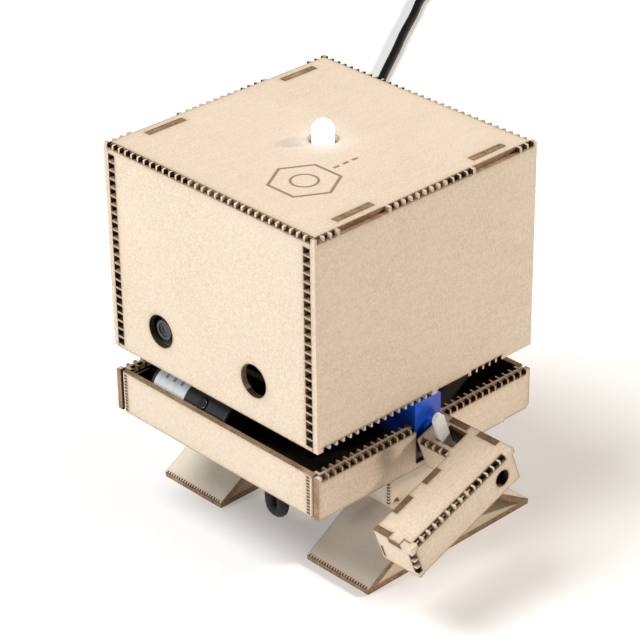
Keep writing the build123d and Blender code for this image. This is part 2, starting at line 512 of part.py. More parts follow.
with BuildPart() as usb_ports:
    for x in (-1, 17):
        block((x - 6.55, 31.5, BOARD_TOP), (x + 6.55, 49.2, BOARD_TOP + 16))
        for z in (3.2, 10.6):
            cut((x - 5.9, 38, BOARD_TOP + z - 2.4), (x + 5.9, 50, BOARD_TOP + z + 2.6))
            block((x - 5.1, 37, BOARD_TOP + z), (x + 5.1, 48.2, BOARD_TOP + z + 1.6))
save("usb_ports", usb_ports)

with BuildPart() as network_port:
    block((-26.5, 28, BOARD_TOP), (-10.5, 49, BOARD_TOP + 13.5))
    cut((-24.4, 36, BOARD_TOP + 2), (-12.6, 50, BOARD_TOP + 10.2))
    cut((-21.5, 36, BOARD_TOP + 10), (-15.5, 50, BOARD_TOP + 12))
save("network_port", network_port)

with BuildPart() as header_strip:
    block((22, -31, BOARD_TOP), (27.1, 19.8, BOARD_TOP + 2.5))
    with Locations((24.55, -5.6, BOARD_TOP + 5)):
        with GridLocations(2.54, 2.54, 2, 20):
            Box(0.64, 0.64, 7, mode=Mode.ADD)
save("header_strip", header_strip)

with BuildPart() as hdmi_port:
    block((-29, -13.5, BOARD_TOP), (-17.5, 1.5, BOARD_TOP + 5.6))
    cut((-30, -12.9, BOARD_TOP + 0.8), (-21, 0.9, BOARD_TOP + 4.9))
    block((-27.6, -10.5, BOARD_TOP + 2.4), (-20, -1.5, BOARD_TOP + 3.4))
save("hdmi_port", hdmi_port)

PLUG_Y = -27.4
with BuildPart() as power_socket:
    block((-29, PLUG_Y - 3.8, BOARD_TOP), (-23.4, PLUG_Y + 3.8, BOARD_TOP + 2.8))
    cut((-30, PLUG_Y - 3.5, BOARD_TOP + 0.4), (-24, PLUG_Y + 3.5, BOARD_TOP + 2.4))
save("power_socket", power_socket)

with BuildPart() as audio_jack:
    block((-28, 12, BOARD_TOP), (-15.5, 19, BOARD_TOP + 6))
    rod(3, -30.3, -28, 15.5, BOARD_TOP + 3)
    rod(1.8, -31, -18, 15.5, BOARD_TOP + 3, Mode.SUBTRACT)
save("audio_jack", audio_jack)

with BuildPart() as card_holder:
    block((-7, -37.8, BOARD_BOTTOM - 1.9), (7, -22.5, BOARD_BOTTOM))
    cut((-5.7, -39, BOARD_BOTTOM - 1.5), (5.7, -24, BOARD_BOTTOM - 0.3))
save("card_holder", card_holder)

with BuildPart() as memory_card:
    with BuildSketch(Plane.XY.offset(BOARD_BOTTOM - 1.4)):
        Polygon((-5.5, -40.2), (5.5, -40.2), (5.5, -32), (4.6, -31), (4.6, -25.2), (-5.5, -25.2), align=None)
    extrude(amount=1.0)
    fillet(memory_card.edges().filter_by(Axis.Z).group_by(Axis.Y)[0], 0.6)
save("memory_card", memory_card)

with BuildPart() as board_standoffs:
    for x, y in SCREW_PLACES:
        with BuildSketch(Plane.XY.offset(TRAY_TOP)):
            with Locations((x, y)):
                RegularPolygon(2.8, 6)
                Circle(1.35, mode=Mode.SUBTRACT)
        extrude(amount=BOARD_BOTTOM - TRAY_TOP)
save("board_standoffs", board_standoffs)

with BuildPart() as board_screws:
    for x, y in SCREW_PLACES:
        bore(2.3, 1.6, (x, y, BOARD_TOP + 0.8), mode=Mode.ADD)
        bore(1.25, 12.2, (x, y, BOARD_TOP - 6.1), mode=Mode.ADD)
        for size in ((0.6, 2.8), (2.8, 0.6)):
            with Locations((x, y, BOARD_TOP + 1.4)):
                Box(*size, 0.9, mode=Mode.SUBTRACT)
save("board_screws", board_screws)

with BuildPart() as board_nuts:
    for x, y in SCREW_PLACES:
        with BuildSketch(Plane.XY.offset(TRAY_TOP - CARD - 2)):
            with Locations((x, y)):
                RegularPolygon(2.85, 6)
                Circle(1.25, mode=Mode.SUBTRACT)
        extrude(amount=2)
save("board_nuts", board_nuts)

# ---- the barrel speaker that lies in the mouth
BARREL_Y, BARREL_Z, BARREL_R = -40.4, BASE_TOP + 7.6, 7.6
with BuildPart() as speaker_body:
    rod(BARREL_R, -19.4, 1.6, BARREL_Y, BARREL_Z)
    rod(BARREL_R, -37, -35.1, BARREL_Y, BARREL_Z)
    fillet(speaker_body.edges().group_by(Axis.X)[-1] + speaker_body.edges().group_by(Axis.X)[0], 1.0)
    rod(BARREL_R - 0.7, -35.1, -19.4, BARREL_Y, BARREL_Z)
    rod(5.6, 0.8, 2.6, BARREL_Y, BARREL_Z, Mode.SUBTRACT)
    with Locations(Plane(origin=(-10.5, BARREL_Y, BARREL_Z), z_dir=(0, -sin(radians(50)), cos(radians(50)))).location):
        with Locations((0, 0, BARREL_R)):
            Cylinder(2.3, 3.6, mode=Mode.SUBTRACT)
save("speaker_body", speaker_body)

with BuildPart() as speaker_sleeve:
    rod(BARREL_R, -35.1, -19.4, BARREL_Y, BARREL_Z)
    rod(BARREL_R - 0.7, -36, -19, BARREL_Y, BARREL_Z, Mode.SUBTRACT)
save("speaker_sleeve", speaker_sleeve)

BUTTON_PLANE = Plane(origin=(-10.5, BARREL_Y, BARREL_Z), z_dir=(0, -sin(radians(50)), cos(radians(50))))
with BuildPart(BUTTON_PLANE) as speaker_button:
    with Locations((0, 0, BARREL_R - 0.35)):
        Cylinder(2.2, 1.9)
    fillet(speaker_button.edges().filter_by(GeomType.CIRCLE).sort_by(Axis.Z)[-1], 0.5)
save("speaker_button", speaker_button)


def route_radii(points):
    """One radius for each corner of a route: 0.45 of the shorter run, over the tangent of half the turn."""
    radii = []
    for a, b, c in zip(points, points[1:], points[2:]):
        before, after = Vector(*b) - Vector(*a), Vector(*c) - Vector(*b)
        turn = before.get_angle(after)
        radii.append(0.45 * min(before.length, after.length) / tan(radians(turn / 2)))
    return radii


def tube(points, diameter):
    """A round tube along straight runs joined by tangent arcs, and what its volume should be."""
    radii = route_radii(points)
    with BuildPart() as made:
        with BuildLine() as path:
            FilletPolyline(*points, radius=radii)
        start = path.wires()[0]
        with BuildSketch(Plane(origin=start @ 0, z_dir=start % 0)):
            Circle(diameter / 2)
        sweep(path=start)
    section = pi * diameter**2 / 4
    print("  length", round(start.length, 1), "smallest radius", round(min(radii), 1))
    print("  volume", round(made.part.volume, 1), "section x length", round(section * start.length, 1))
    return made


# ---- the speaker's lead, which hangs in a loop below the base
speaker_lead = tube(LEAD_ROUTE, CORD)
save("speaker_lead", speaker_lead)

# ---- the power cord: an angled plug, the cord along the floor, and its spare length in a coil
with BuildPart() as power_plug:
    block((-40, PLUG_Y - 5, BOARD_TOP - 2.4), (-29.4, PLUG_Y + 7, BOARD_TOP + 4.6))
    fillet(power_plug.edges().filter_by(Axis.Z), 2)
    block((-29.5, PLUG_Y - 3.3, BOARD_TOP + 0.55), (-24.4, PLUG_Y + 3.3, BOARD_TOP + 2.25))
    with Locations(Plane(origin=(-36.6, PLUG_Y + 6.9, 79.6), z_dir=(0, 1, 0)).location):
        Cone(3.4, 2.5, 7.5, align=(Align.CENTER, Align.CENTER, Align.MIN))
save("power_plug", power_plug)

power_cord = tube(CORD_ROUTE + [(*COIL_TOUCH, LAID)], CORD)
save("power_cord", power_cord)

COIL_CENTRE = (COIL_TOUCH[0] - COIL_HEADING[1] * COIL_MIDDLE, COIL_TOUCH[1] + COIL_HEADING[0] * COIL_MIDDLE)
with BuildPart() as power_cord_coil:
    with BuildSketch(Plane.XZ):
        with Locations((COIL_MIDDLE, COIL_HIGH / 2 + 0.1)):
            RectangleRounded(COIL_WIDE, COIL_HIGH, 4)
    revolve(axis=Axis.Z)
power_cord_coil.part.position = (*COIL_CENTRE, 0)
save("power_cord_coil", power_cord_coil)

PLUG_AT = (COIL_CENTRE[0] + 13.48, COIL_CENTRE[1] + 4.34, COIL_HIGH + 0.1)
with BuildPart(Plane(origin=PLUG_AT, x_dir=(0.5, 0.866, 0))) as cord_plug:
    block((-14, -7.8, 0), (14, 7.8, 8))
    fillet([edge for edge in cord_plug.edges() if edge.length > 20], 2)
    block((14, -6, 1.8), (26, 6, 6.3))
    cut((15, -5.2, 3.9), (27, 5.2, 5.8))
    with Locations(Plane(origin=(-14, 0, 4), z_dir=(-1, 0, 0)).location):
        Cone(3.2, 2.3, 8, align=(Align.CENTER, Align.CENTER, Align.MIN))
save("cord_plug", cord_plug)
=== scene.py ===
"""The looks of the folded card robot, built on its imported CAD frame. Metres, Z up, the floor at Z = 0."""

import json
from math import cos, pi, radians, sin

import bmesh
import bpy
import numpy as np
from mathutils import Matrix, Vector
from mathutils.geometry import delaunay_2d_cdt


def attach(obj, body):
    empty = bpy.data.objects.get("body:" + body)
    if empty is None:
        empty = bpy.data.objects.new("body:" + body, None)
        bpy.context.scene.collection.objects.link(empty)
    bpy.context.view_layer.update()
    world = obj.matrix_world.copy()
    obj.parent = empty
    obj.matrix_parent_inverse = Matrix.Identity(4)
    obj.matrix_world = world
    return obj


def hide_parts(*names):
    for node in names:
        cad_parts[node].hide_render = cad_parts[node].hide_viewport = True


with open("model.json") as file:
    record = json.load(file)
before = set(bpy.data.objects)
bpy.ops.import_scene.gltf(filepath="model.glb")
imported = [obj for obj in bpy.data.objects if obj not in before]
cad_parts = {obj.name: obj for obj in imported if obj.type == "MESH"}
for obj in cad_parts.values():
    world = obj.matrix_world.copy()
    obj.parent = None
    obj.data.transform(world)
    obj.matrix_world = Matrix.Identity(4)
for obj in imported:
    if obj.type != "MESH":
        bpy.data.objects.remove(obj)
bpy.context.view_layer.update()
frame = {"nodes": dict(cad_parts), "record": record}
NODES = frame["nodes"]

MM = 0.001
SHIFT = -15.8                 # from the head's middle, where the places below are measured from, to the frame


def at(x, y, z):
    """A point given in millimetres from the middle of the head, in the frame."""
    return Vector(((x + SHIFT) * MM, y * MM, z * MM))


# ---- view, light and floor
CAMERA_AT = at(562.63, -531.68, 508.0)
CAMERA_AZIMUTH, CAMERA_ELEVATION, CAMERA_ROLL = 46.674, 29.274, -0.805
CAMERA_LENS = 145.17

# ---- shades, as linear colours
CARD_LIGHT, CARD_DARK = (0.85, 0.735, 0.59), (0.66, 0.53, 0.395)
LIT_FEET_CARD = (0.95, 0.88, 0.76)         # the feet and legs, made paler with painted light
CUT_LIGHT, CUT_DARK, SMOKE_BROWN = (0.46, 0.31, 0.18), (0.15, 0.08, 0.04), (0.16, 0.085, 0.042)


# ======== shader helpers
class Shader:
    """A node material, built by naming nodes and joining their sockets."""

    def __init__(self, name):
        self.material = bpy.data.materials.new(name)
        self.material.use_nodes = True
        self.tree = self.material.node_tree
        self.tree.nodes.clear()
        self.out = self.tree.nodes.new("ShaderNodeOutputMaterial")
        self.surface = self.tree.nodes.new("ShaderNodeBsdfPrincipled")
        self.tree.links.new(self.surface.outputs[0], self.out.inputs["Surface"])

    def join(self, value, socket):
        if isinstance(value, bpy.types.NodeSocket):
            self.tree.links.new(value, socket)
        else:
            socket.default_value = (*value, 1.0) if socket.type == "RGBA" and len(value) == 3 else value

    def add(self, kind, inputs=None, output=0, **settings):
        node = self.tree.nodes.new("ShaderNode" + kind)
        for key, value in settings.items():
            setattr(node, key, value)
        for key, value in (inputs or {}).items():
            self.join(value, node.inputs[key])
        return node.outputs[output]

    def set(self, **inputs):
        for key, value in inputs.items():
            self.join(value, self.surface.inputs[key.replace("_", " ")])

    def place(self, scale=(1, 1, 1), turn=(0, 0, 0)):
        spot = self.add("TexCoord", output="Object")
        return self.add("Mapping", {"Vector": spot, "Scale": scale, "Rotation": turn})

    def noise(self, vector, scale, detail=4.0, rough=0.55, output="Fac"):
        inputs = {"Vector": vector, "Scale": scale, "Detail": detail, "Roughness": rough}
        return self.add("TexNoise", inputs, output)

    def ramp(self, factor, *stops):
        """A colour ramp over (position, colour) stops."""
        node = self.tree.nodes.new("ShaderNodeValToRGB")
        self.tree.links.new(factor, node.inputs[0])
        while len(node.color_ramp.elements) < len(stops):
            node.color_ramp.elements.new(0.5)
        for element, (position, colour) in zip(node.color_ramp.elements, stops):
            element.position = position
            element.color = (*colour, 1.0) if len(colour) == 3 else colour
        return node.outputs[0]

    def math(self, operation, a, b=0.0, clamp=False):
        return self.add("Math", {0: a, 1: b}, operation=operation, use_clamp=clamp)

    def span(self, value, low, high, to_low=0.0, to_high=1.0):
        return self.add("MapRange", {"Value": value, 1: low, 2: high, 3: to_low, 4: to_high})

    def mix(self, factor, a, b, blend="MIX"):
        node = self.tree.nodes.new("ShaderNodeMix")
        node.data_type, node.blend_type = "RGBA", blend
        for value, socket in ((factor, node.inputs[0]), (a, node.inputs[6]), (b, node.inputs[7])):
            self.join(value, socket)
        return node.outputs[2]

    def line_mask(self, value, middle, half_width):
        """1 where a value lies within half_width of its middle, with a soft border, and 0 elsewhere."""
        off = self.math("ABSOLUTE", self.math("SUBTRACT", value, middle))
        return self.span(off, half_width * 0.75, half_width * 1.25, 1.0, 0.0)

    def bump(self, height, strength, distance, under=None):
        inputs = {"Height": height, "Strength": strength, "Distance": distance}
        if under is not None:
            inputs["Normal"] = under
        normal = self.add("Bump", inputs)
        self.set(Normal=normal)
        return normal


def grey(value):
    return (value, value, value)


MARK_AT = (18, -24, 142)
MARK_HEXAGON, MARK_RING, MARK_LINE, MARK_THIN_LINE = 10.5 * MM, 4.6 * MM, 0.55 * MM, 0.45 * MM
DASH_STARTS, DASH_HALF, DASH_WIDTH = (13.0, 17.2, 21.4), 1.3, 0.6
MARK_DEPTH = 0.3 * MM


def burnt_mark(s):
    """Where the laser drew a plain mark on the head: a hexagon round a ring, with a dashed line behind it."""
    spot = s.add("TexCoord", output="Object")
    middle = at(*MARK_AT)
    moved = s.add("VectorMath", {0: spot, 1: tuple(-c for c in middle)}, operation="ADD")
    split = s.add("SeparateXYZ", {0: moved}).node
    x, y, z = (s.math("ABSOLUTE", split.outputs[i]) for i in range(3))
    slanted = s.math("ADD", s.math("MULTIPLY", x, 0.866), s.math("MULTIPLY", y, 0.5))
    hexagon = s.math("MAXIMUM", slanted, y)
    radius = s.math("SQRT", s.math("ADD", s.math("MULTIPLY", x, x), s.math("MULTIPLY", y, y)))
    lines = [s.line_mask(hexagon, MARK_HEXAGON, MARK_LINE), s.line_mask(radius, MARK_RING, MARK_THIN_LINE)]
    for start in DASH_STARTS:
        along = s.line_mask(split.outputs[1], (start + DASH_HALF) * MM, DASH_HALF * MM)
        lines.append(s.math("MULTIPLY", along, s.line_mask(x, 0, DASH_WIDTH * MM)))
    drawn = lines[0]
    for line in lines[1:]:
        drawn = s.math("MAXIMUM", drawn, line)
    return s.math("MULTIPLY", drawn, s.math("LESS_THAN", z, MARK_DEPTH))


def card_material():
    """Pale chipboard: fine grain with darker flecks, and brown smoke beside each cut of the laser."""
    s = Shader("chipboard")
    spot = s.place()
    grain = s.noise(spot, 1500, 3, 0.7)
    along = s.noise(s.place((1, 0.22, 1)), 700, 4, 0.6)
    broad = s.noise(spot, 32, 3, 0.5)
    flecks = s.noise(spot, 2300, 2, 0.5)
    tone = s.math("ADD", s.math("MULTIPLY", along, 0.2), s.math("MULTIPLY", grain, 0.8))
    colour = s.ramp(tone, (0.34, CARD_DARK), (0.62, CARD_LIGHT))
    colour = s.mix(s.span(broad, 0.35, 0.65, 0.0, 0.3), colour, CARD_LIGHT)
    colour = s.mix(s.span(flecks, 0.62, 0.72, 0.0, 0.3), colour, (0.42, 0.3, 0.19))
    gap = s.add("Attribute", attribute_name="cut_gap", output="Fac")
    ragged = s.math("MULTIPLY", gap, s.span(s.noise(spot, 520, 3), 0.3, 0.7, 0.7, 1.4))
    line = s.add("Math", {0: s.math("MULTIPLY", ragged, -1 / SMOKE_NEAR)}, operation="EXPONENT")
    haze = s.add("Math", {0: s.math("MULTIPLY", ragged, -1 / SMOKE_FAR)}, operation="EXPONENT")
    colour = s.mix(s.math("MULTIPLY", haze, 0.3), colour, (0.47, 0.32, 0.19))
    colour = s.mix(s.math("MULTIPLY", line, 0.85), colour, SMOKE_BROWN)
    ink = s.math("MULTIPLY", burnt_mark(s), s.span(grain, 0.3, 0.7, 0.6, 0.95))
    colour = s.mix(ink, colour, (0.2, 0.11, 0.055))
    # painted light: the feet and legs are mixed halfway toward a paler card
    colour = s.mix(s.add("Attribute", attribute_name="lit_feet", output="Fac"), colour, LIT_FEET_CARD)
    # painted shade: faces whose inside attribute is set are mixed almost to black
    inside = s.add("Attribute", attribute_name="inside", output="Fac")
    colour = s.mix(s.math("MULTIPLY", inside, 0.95), colour, (0.014, 0.008, 0.005))
    s.set(Base_Color=colour, Roughness=s.span(grain, 0.3, 0.7, 0.74, 0.88), Specular_IOR_Level=0.2)
    s.bump(s.math("ADD", tone, s.math("MULTIPLY", flecks, 0.5)), 0.3, 0.00012)
    return s.material


def cut_material():
    """The laser-cut edge of the card: uneven brown with fine streaks across its thickness."""
    s = Shader("laser_cut_edge")
    spot = s.place()
    streaks = s.noise(spot, 1700, 3, 0.6)
    broad = s.noise(spot, 170, 3, 0.5)
    tone = s.math("ADD", s.math("MULTIPLY", streaks, 0.6), s.math("MULTIPLY", broad, 0.4))
    middle = tuple((a + b) / 2 for a, b in zip(CUT_DARK, CUT_LIGHT))
    colour = s.ramp(tone, (0.34, CUT_DARK), (0.5, middle), (0.64, CUT_LIGHT))
    # painted shade: cut edges whose inside attribute is set are mixed almost to black
    inside = s.add("Attribute", attribute_name="inside", output="Fac")
    s.set(Base_Color=s.mix(s.math("MULTIPLY", inside, 0.92), colour, (0.018, 0.01, 0.006)))
    s.set(Roughness=0.75, Specular_IOR_Level=0.25)
    s.bump(tone, 0.4, 0.00015)
    return s.material


# ======== card pieces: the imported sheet, with its cut edges told apart from its faces
CARD_THICKNESS = 2.2 * MM
SMOKE_NEAR, SMOKE_FAR = 0.28 * MM, 2.2 * MM     # how quickly the smoke fades from a cut
RINGS = (0.3 * MM, 0.8 * MM, 1.8 * MM, 4.0 * MM)
BORE_BEND = (-1.05, -0.01)                      # the hollow bends between the facets of a bore, in radians
FAR = 8 * MM                                    # farther from a cut than any smoke reaches
CHIPBOARD = card_material()
CUT_EDGE = cut_material()


def flat_regions(mesh):
    """Connected faces that share one plane, as lists of faces of a mesh that has no doubled corners."""
    bm = bmesh.new()
    bm.from_mesh(mesh)
    bmesh.ops.remove_doubles(bm, verts=bm.verts, dist=1e-6)
    bm.faces.ensure_lookup_table()
    bm.normal_update()
    seen, regions = set(), []
    for face in bm.faces:
        if face.index in seen:
            continue
        seen.add(face.index)
        stack, region = [face], []
        while stack:
            here = stack.pop()
            region.append(here)
            for other in (o for edge in here.edges for o in edge.link_faces):
                if other.index not in seen and other.normal.dot(here.normal) > 0.99999:
                    seen.add(other.index)
                    stack.append(other)
        regions.append(region)
    return bm, regions


def is_cut(region, into_own):
    """Whether a flat region is a laser-cut edge: as narrow as the card, and square to its sheet or in a bore."""
    normal = into_own @ region[0].normal
    inside = {face.index for face in region}
    rim = [e for f in region for e in f.edges if sum(o.index in inside for o in e.link_faces) == 1]
    width = 2 * sum(f.calc_area() for f in region) / max(sum(e.calc_length() for e in rim), 1e-9)
    spots = np.array([(into_own @ v.co)[:] for f in region for v in f.verts])
    spread = np.sort(np.ptp(spots, axis=0))[1]
    narrow = spread < 1.05 * CARD_THICKNESS or 0.6 * CARD_THICKNESS < width < 1.02 * CARD_THICKNESS
    shared = [e for f in region for e in f.edges if len(e.link_faces) == 2]
    in_bore = any(BORE_BEND[0] < e.calc_face_angle_signed(0) < BORE_BEND[1] for e in shared)
    return narrow and (max(abs(c) for c in normal) > 0.999 or in_bore)


def redrawn(region, rim, cut_rim, basis):
    """A flat region's points, triangles and distances from the cut, with rings of points along the cut."""
    flat, lines, corner = [], [], {}
    for edge in rim:
        for v in edge.verts:
            if v.index not in corner:
                corner[v.index] = len(flat)
                flat.append((basis @ v.co).xy)
        lines.append(tuple(corner[v.index] for v in edge.verts))
    starts = np.array([(basis @ e.verts[0].co).xy[:] for e in cut_rim])
    steps = np.array([(basis @ e.verts[1].co).xy[:] for e in cut_rim]) - starts
    lengths = np.maximum(np.linalg.norm(steps, axis=1), 1e-12)
    for ring in RINGS:
        for start, step, length in zip(starts, steps, lengths):
            across = np.array((-step[1], step[0])) / length * ring
            for k in range(int(length / (2 * ring)) + 2):
                along = min(1.0, k * 2 * ring / length)
                flat.extend(Vector(start + step * along + way * across) for way in (-1, 1))
    corners, _, triangles, *_ = delaunay_2d_cdt(flat, lines, [], 2, 1e-7)
    made = np.array([c[:] for c in corners])
    middles = made[np.array(triangles)].mean(1)
    ends = np.array([(flat[a][:], flat[b][:]) for a, b in lines])
    above = (ends[None, :, 0, 1] > middles[:, 1:]) != (ends[None, :, 1, 1] > middles[:, 1:])
    rise = np.where(ends[:, 1, 1] == ends[:, 0, 1], 1, ends[:, 1, 1] - ends[:, 0, 1])
    cross = ends[:, 0, 0] + (middles[:, 1:] - ends[:, 0, 1]) / rise * (ends[:, 1, 0] - ends[:, 0, 0])
    solid = (above & (cross > middles[:, :1])).sum(1) % 2 == 1
    triangles = [triangle for triangle, kept in zip(triangles, solid) if kept]
    gaps = np.full(len(made), FAR)
    for start, step, length in zip(starts, steps, lengths):
        along = np.clip((made - start) @ step / length**2, 0, 1)
        gaps = np.minimum(gaps, np.linalg.norm(made - start - along[:, None] * step, axis=1))
    level = (basis @ region[0].verts[0].co).z
    used = {k: i for i, k in enumerate(sorted({k for triangle in triangles for k in triangle}))}
    triangles = [[used[k] for k in triangle] for triangle in triangles]
    kept = [basis.transposed() @ Vector((*made[k], level)) for k in used]
    return kept, triangles, [gaps[k] for k in used]


# inner parts that get painted shade all over, almost black
SHADED_INSIDES = {"base_plate", "tray", "upright_left", "upright_right", "led_bracket", "camera_bracket"}
SHAFT_AT = at(0, 1.1, 47.3)
ARM_MIDDLE = Vector((75.5, -17.0, 0.6)) * MM    # from the shaft, in the arm's own frame
SHOULDER_END = -8.6 * MM                        # where the shoulder begins, from the arm's middle
# the strength of painted shade on the arm's cut edges, and of painted light on the feet and legs
ARM_CUT_SHADE, FEET_PAINTED_LIGHT = 0.45, 0.5


def looks_in(node, region, into_own):
    """Whether a flat region gets painted shade, mixed almost to black: an inner wall of the head, jaw or arm, or
    a part behind them.
    """
    if node in SHADED_INSIDES:
        return True
    middle = sum((face.calc_center_median() for face in region), Vector()) / len(region)
    if node.startswith("arm_"):
        away = into_own @ (middle - SHAFT_AT) - ARM_MIDDLE
        if away.x < SHOULDER_END and (into_own @ region[0].normal).y < -0.9:
            return False
        away = Vector((away.x if away.x > 0 else away.x / 9, away.y, away.z))
        return away.dot(into_own @ region[0].normal) < -3 * MM
    if not node.startswith(("head_", "jaw_")):
        return False
    away = middle - at(0, 0, 100 if node == "head_shell" else middle.z / MM)
    return away.dot(region[0].normal) < -8 * MM


def card_piece(node, body, own_frame=Matrix.Identity(3)):
    """Stands for a card node: the same surface, with brown cut edges and smoke on the faces beside them."""
    bm, regions = flat_regions(NODES[node].data)
    into_own = own_frame.inverted()
    cuts = [is_cut(region, into_own) for region in regions]
    owner = {face.index: i for i, region in enumerate(regions) for face in region}
    points, faces, materials, gaps, shades = [], [], [], [], []
    for i, region in enumerate(regions):
        normal = region[0].normal
        across = normal.orthogonal().normalized()
        rim = [e for f in region for e in f.edges if sum(owner[o.index] == i for o in e.link_faces) == 1]
        owners = [{owner[o.index] for o in e.link_faces} - {i} for e in rim]
        cut_rim = [e for e, others in zip(rim, owners) if any(cuts[other] for other in others)]
        if cuts[i] or not cut_rim:
            index = {}
            for v in (v for f in region for v in f.verts):
                index.setdefault(v.index, (len(points) + len(index), v.co.copy()))
            made = [co for _, co in index.values()]
            triangles = [[index[v.index][0] - len(points) for v in f.verts] for f in region]
            distances = [FAR] * len(made)
        else:
            basis = Matrix((across, normal.cross(across), normal))
            made, triangles, distances = redrawn(region, rim, cut_rim, basis)
        own_shade = ARM_CUT_SHADE if cuts[i] and node.startswith("arm_") else 0.0
        shade = 1.0 if looks_in(node, region, into_own) else own_shade
        shades.extend([shade] * len(made))
        faces.extend([k + len(points) for k in triangle] for triangle in triangles)
        points.extend(made)
        gaps.extend(distances)
        materials.extend([int(cuts[i])] * len(triangles))
    bm.free()
    mesh = bpy.data.meshes.new(node + "_card")
    mesh.from_pydata(points, [], faces)
    mesh.materials.append(CHIPBOARD)
    mesh.materials.append(CUT_EDGE)
    mesh.polygons.foreach_set("material_index", materials)
    mesh.attributes.new("cut_gap", "FLOAT", "POINT").data.foreach_set("value", gaps)
    mesh.attributes.new("inside", "FLOAT", "POINT").data.foreach_set("value", shades)
    # painted light on the feet and legs
    lit_feet = [FEET_PAINTED_LIGHT * node.startswith(("foot_", "leg_"))] * len(points)
    mesh.attributes.new("lit_feet", "FLOAT", "POINT").data.foreach_set("value", lit_feet)
    piece = bpy.data.objects.new(node + "_card", mesh)
    bpy.context.collection.objects.link(piece)
    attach(piece, body)
    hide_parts(node)
    return piece


ARM_FRAME = Matrix.Rotation(radians(20.2), 3, "X")
BODY_OF = {node: body for body, nodes in frame["record"]["behaviour"]["bodies"].items() for node in nodes}
SLOT_OF = {part["node"]: part["material_slot"] for part in frame["record"]["subparts"]}
for node, slot in SLOT_OF.items():
    if slot == "card":
        card_piece(node, BODY_OF[node], ARM_FRAME if node.startswith("arm_") else Matrix.Identity(3))


# ======== the other pieces: a procedural material for each slot
def mottled(name, low, high, roughness, scale=60, bump=0.00003, **sockets):
    """A material whose colour drifts between two shades, with a finely uneven gloss."""
    s = Shader(name)
    spot = s.place()
    broad, fine = s.noise(spot, scale, 4, 0.5), s.noise(spot, 2600, 3, 0.6)
    s.set(Base_Color=s.ramp(broad, (0.32, low), (0.68, high)), **sockets)
    s.set(Roughness=s.span(fine, 0.3, 0.7, *roughness))
    s.bump(s.math("ADD", fine, s.math("MULTIPLY", broad, 0.5)), 0.2, bump)
    return s.material


def servo_material():
    """The servo's glossy blue case, with painted shade that darkens it towards its lower end between the jaw and
    the shoulder.
    """
    s = Shader("blue_case")
    spot = s.add("TexCoord", output="Object")
    height = s.add("SeparateXYZ", {0: spot}).node.outputs[2]
    broad, fine = s.noise(spot, 160, 4, 0.5), s.noise(spot, 2600, 3, 0.6)
    colour = s.ramp(broad, (0.32, (0.005, 0.06, 0.6)), (0.68, (0.01, 0.14, 0.85)))
    # painted shade: below 55 mm the blue is mixed toward near-black, fully dark at 48 mm
    lit = s.span(height, 48 * MM, 55 * MM)
    s.set(Base_Color=s.mix(lit, (0.004, 0.008, 0.03), colour), Coat_Weight=0.15)
    s.set(Roughness=s.span(fine, 0.3, 0.7, 0.26, 0.38))
    s.bump(fine, 0.15, 0.00003)
    return s.material


def sleeve_material():
    """A white printed sleeve: three small blue blocks, and faint lines between three plain fields."""
    s = Shader("printed_sleeve")
    spot = s.add("TexCoord", output="Object")
    spots = np.array([v.co[:] for v in NODES["speaker_sleeve"].data.vertices])
    low, high = spots.min(0), spots.max(0)
    middle = (low + high) / 2
    moved = s.add("VectorMath", {0: spot, 1: tuple(-middle)}, operation="ADD")
    split = s.add("SeparateXYZ", {0: moved}).node
    ahead = s.math("MULTIPLY", split.outputs[1], -1)
    angle = s.math("ARCTAN2", ahead, split.outputs[2])
    near_top = s.line_mask(angle, radians(30), radians(7))
    blocks, fields = None, None
    for k in range(3):
        along = (-3.9 + 3.8 * k) * MM
        block = s.math("MULTIPLY", s.line_mask(split.outputs[0], along + 0.4 * MM, 0.6 * MM), near_top)
        field = s.line_mask(split.outputs[0], along - 1.7 * MM, 0.12 * MM)
        blocks = block if blocks is None else s.math("MAXIMUM", blocks, block)
        fields = field if fields is None else s.math("MAXIMUM", fields, field)
    paper = s.mix(s.noise(s.place(), 900, 3), (0.9, 0.93, 0.96), (0.97, 0.98, 0.99))
    colour = s.mix(s.math("MULTIPLY", fields, 0.5), paper, (0.45, 0.58, 0.8))
    s.set(Base_Color=s.mix(s.math("MULTIPLY", blocks, 0.85), colour, (0.1, 0.26, 0.62)), Roughness=0.4)
    s.bump(s.noise(s.place(), 1200, 3), 0.1, 0.00003)
    return s.material


def lit_material():
    """The lit lens of the LED: clear, white in its body and blue towards its outline, a little uneven."""
    s = Shader("lit_lens")
    facing = s.add("LayerWeight", {"Blend": 0.35}, output="Facing")
    glow = s.ramp(facing, (0.0, (0.66, 0.78, 1.0)), (0.6, (0.5, 0.62, 1.0)), (1.0, (0.2, 0.25, 1.0)))
    cloud = s.noise(s.place(), 300, 3)
    s.set(Base_Color=(0.9, 0.94, 1.0), Roughness=0.12)
    s.set(Emission_Color=glow, Emission_Strength=s.span(cloud, 0.3, 0.7, 4.2, 5.0))
    s.bump(cloud, 0.05, 0.00005)
    clear = s.add("BsdfTransparent")
    both = s.add("MixShader", {0: 0.6, 1: s.surface.outputs[0], 2: clear})
    s.tree.links.new(both, s.out.inputs["Surface"])
    return s.material


def board_material():
    """A green board under its solder mask, with copper traces that show faintly through it."""
    s = Shader("circuit_board")
    inputs = {
        "Vector": s.place((420, 420, 420)), "Color1": (0.016, 0.12, 0.05, 1), "Color2": (0.01, 0.085, 0.036, 1),
        "Mortar": (0.03, 0.19, 0.075, 1), "Scale": 1.0, "Mortar Size": 0.06,
    }
    cells = s.add("TexBrick", inputs)
    cloud = s.noise(s.place(), 90, 4)
    s.set(Base_Color=s.mix(s.span(cloud, 0.4, 0.6, 0.2, 0.8), cells, (0.012, 0.11, 0.046)))
    s.set(Roughness=s.span(cloud, 0.3, 0.7, 0.22, 0.36))
    s.bump(cells, 0.1, 0.00002)
    return s.material


